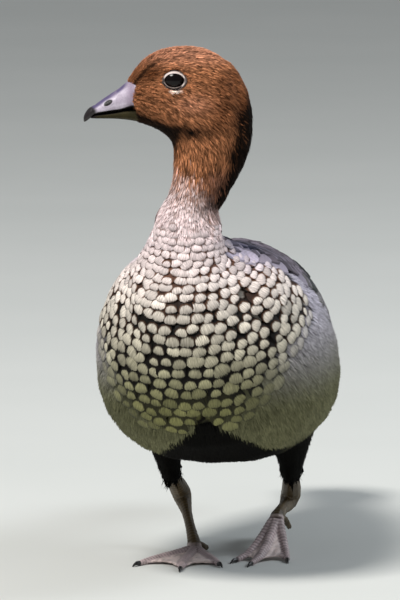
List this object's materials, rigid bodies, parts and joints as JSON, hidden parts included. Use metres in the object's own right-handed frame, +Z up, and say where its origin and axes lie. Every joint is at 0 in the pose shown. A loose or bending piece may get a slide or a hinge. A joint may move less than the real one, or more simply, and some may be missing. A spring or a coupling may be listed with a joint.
{
  "type": "duck",
  "caption": "Life-size still model of a standing Australian wood duck drake, head turned to its right, one heel raised in a walking step.",
  "frame": {"origin": "on the floor, under the middle of the whole bird's box", "axes": "+Z up, the bird's breast faces -Y and its tail lies towards +Y, and its left side is +X"},
  "size_m": [0.124, 0.303, 0.2851],
  "materials": {
    "head_feathers": "matt",
    "mane_feathers": "matt",
    "neck_feathers": "matt",
    "body_feathers": "matt",
    "tail_feathers": "satin",
    "wing_feathers": "matt",
    "thigh_feathers": "matt",
    "bill": "satin",
    "eye": "gloss",
    "leg_skin": "satin",
    "foot_skin": "satin",
    "claw": "satin"
  },
  "bodies": {
    "root": {"head": "head_feathers", "mane": "mane_feathers", "neck": "neck_feathers", "trunk": "body_feathers", "tail": "tail_feathers", "wing_left": "wing_feathers", "wing_right": "wing_feathers", "upper_bill": "bill", "lower_bill": "bill", "eye_left": "eye", "eye_right": "eye", "thigh_left": "thigh_feathers", "thigh_right": "thigh_feathers", "shank_left": "leg_skin", "shank_right": "leg_skin", "foot_left": "foot_skin", "foot_right": "foot_skin", "claw_left_inner": "claw", "claw_left_middle": "claw", "claw_left_outer": "claw", "claw_right_inner": "claw", "claw_right_middle": "claw", "claw_right_outer": "claw"}
  },
  "joints": []
}
